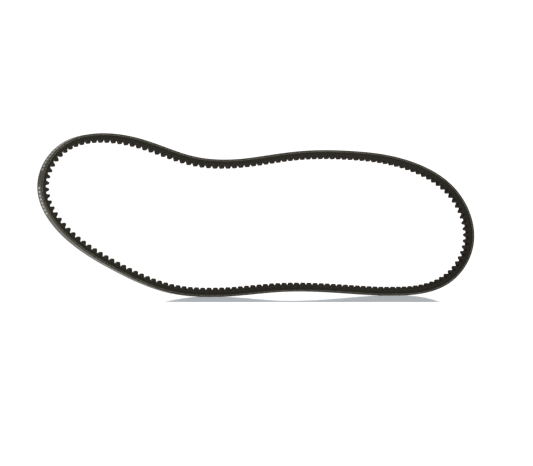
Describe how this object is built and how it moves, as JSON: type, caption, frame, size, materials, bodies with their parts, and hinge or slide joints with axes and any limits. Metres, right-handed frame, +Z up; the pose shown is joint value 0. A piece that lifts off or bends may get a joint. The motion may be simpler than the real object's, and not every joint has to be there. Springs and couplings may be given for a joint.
{
  "type": "v belt",
  "caption": "Endless raw-edge cogged V-belt with a fabric back, a helical tensile cord and moulded cogs; it stands on its back and flexes as hinged spans.",
  "frame": {"origin": "middle of the loop's length and of the belt's width, on the floor that the belt stands on", "axes": "+X along the loop's length towards its narrow end, +Y across the belt's width, +Z up"},
  "size_m": [0.4226, 0.01, 0.1387],
  "materials": {
    "outer_ply": "rubberised woven fabric, matt grey-olive",
    "skim_rubber": "matt rubber between the plies",
    "inner_ply": "cut edge of a rubberised fabric ply",
    "cord_cushion": "matt adhesion rubber",
    "tensile_cord": "twisted polyester cord",
    "cog_rubber": "fibre-loaded rubber, ground flanks, matt",
    "ink": "thin worn printing ink"
  },
  "bodies": {
    "foot": {"foot_outer_ply": "outer_ply", "foot_skim_rubber": "skim_rubber", "foot_inner_ply": "inner_ply", "foot_cord_cushion": "cord_cushion", "foot_tensile_cord": "tensile_cord", "foot_cog_rubber": "cog_rubber"},
    "lower_left": {"lower_left_outer_ply": "outer_ply", "lower_left_skim_rubber": "skim_rubber", "lower_left_inner_ply": "inner_ply", "lower_left_cord_cushion": "cord_cushion", "lower_left_tensile_cord": "tensile_cord", "lower_left_cog_rubber": "cog_rubber"},
    "left_end": {"left_end_outer_ply": "outer_ply", "left_end_skim_rubber": "skim_rubber", "left_end_inner_ply": "inner_ply", "left_end_cord_cushion": "cord_cushion", "left_end_tensile_cord": "tensile_cord", "left_end_cog_rubber": "cog_rubber", "printed_marks": "ink"},
    "crown": {"crown_outer_ply": "outer_ply", "crown_skim_rubber": "skim_rubber", "crown_inner_ply": "inner_ply", "crown_cord_cushion": "cord_cushion", "crown_tensile_cord": "tensile_cord", "crown_cog_rubber": "cog_rubber"},
    "hollow": {"hollow_outer_ply": "outer_ply", "hollow_skim_rubber": "skim_rubber", "hollow_inner_ply": "inner_ply", "hollow_cord_cushion": "cord_cushion", "hollow_tensile_cord": "tensile_cord", "hollow_cog_rubber": "cog_rubber"},
    "lower_right": {"lower_right_outer_ply": "outer_ply", "lower_right_skim_rubber": "skim_rubber", "lower_right_inner_ply": "inner_ply", "lower_right_cord_cushion": "cord_cushion", "lower_right_tensile_cord": "tensile_cord", "lower_right_cog_rubber": "cog_rubber"},
    "right_end": {"right_end_outer_ply": "outer_ply", "right_end_skim_rubber": "skim_rubber", "right_end_inner_ply": "inner_ply", "right_end_cord_cushion": "cord_cushion", "right_end_tensile_cord": "tensile_cord", "right_end_cog_rubber": "cog_rubber"},
    "shoulder": {"shoulder_outer_ply": "outer_ply", "shoulder_skim_rubber": "skim_rubber", "shoulder_inner_ply": "inner_ply", "shoulder_cord_cushion": "cord_cushion", "shoulder_tensile_cord": "tensile_cord", "shoulder_cog_rubber": "cog_rubber"},
    "top": {"top_outer_ply": "outer_ply", "top_skim_rubber": "skim_rubber", "top_inner_ply": "inner_ply", "top_cord_cushion": "cord_cushion", "top_tensile_cord": "tensile_cord", "top_cog_rubber": "cog_rubber"}
  },
  "joints": [
    {"name": "lower_left_flex", "type": "hinge", "parent": "foot", "child": "lower_left", "pos_m": [-0.07612, 0, 0.00296], "axis": [0, -1, 0], "range_deg": [-8.83, 8.83], "stiffness_Nm_per_rad": 0.5},
    {"name": "left_end_flex", "type": "hinge", "parent": "lower_left", "child": "left_end", "pos_m": [-0.19065, 0, 0.05613], "axis": [0, -1, 0], "range_deg": [-11.7, 11.7], "stiffness_Nm_per_rad": 0.5},
    {"name": "crown_flex", "type": "hinge", "parent": "left_end", "child": "crown", "pos_m": [-0.17729, 0, 0.13335], "axis": [0, -1, 0], "range_deg": [-3.03, 3.03], "stiffness_Nm_per_rad": 0.5},
    {"name": "hollow_flex", "type": "hinge", "parent": "crown", "child": "hollow", "pos_m": [-0.10541, 0, 0.12844], "axis": [0, -1, 0], "range_deg": [-6.76, 6.76], "stiffness_Nm_per_rad": 0.5},
    {"name": "lower_right_flex", "type": "hinge", "parent": "foot", "child": "lower_right", "pos_m": [0.16108, 0, 0.00443], "axis": [0, -1, 0], "range_deg": [-8.37, 8.37], "stiffness_Nm_per_rad": 0.5},
    {"name": "right_end_flex", "type": "hinge", "parent": "lower_right", "child": "right_end", "pos_m": [0.2015, 0, 0.02922], "axis": [0, -1, 0], "range_deg": [-12, 12], "stiffness_Nm_per_rad": 0.5},
    {"name": "shoulder_flex", "type": "hinge", "parent": "right_end", "child": "shoulder", "pos_m": [0.17556, 0, 0.10622], "axis": [0, -1, 0], "range_deg": [-5.68, 5.68], "stiffness_Nm_per_rad": 0.5},
    {"name": "top_flex", "type": "hinge", "parent": "shoulder", "child": "top", "pos_m": [0.07529, 0, 0.12727], "axis": [0, -1, 0], "range_deg": [-8.94, 8.94], "stiffness_Nm_per_rad": 0.5}
  ],
  "couplings": [
    {"joint": "lower_left_flex", "follows": "right_end_flex", "ratio": 0.7346},
    {"joint": "left_end_flex", "follows": "right_end_flex", "ratio": -0.9742},
    {"joint": "crown_flex", "follows": "right_end_flex", "ratio": -0.252},
    {"joint": "hollow_flex", "follows": "right_end_flex", "ratio": 0.5623},
    {"joint": "lower_right_flex", "follows": "right_end_flex", "ratio": -0.6964},
    {"joint": "shoulder_flex", "follows": "right_end_flex", "ratio": 0.4729},
    {"joint": "top_flex", "follows": "right_end_flex", "ratio": -0.7444}
  ]
}
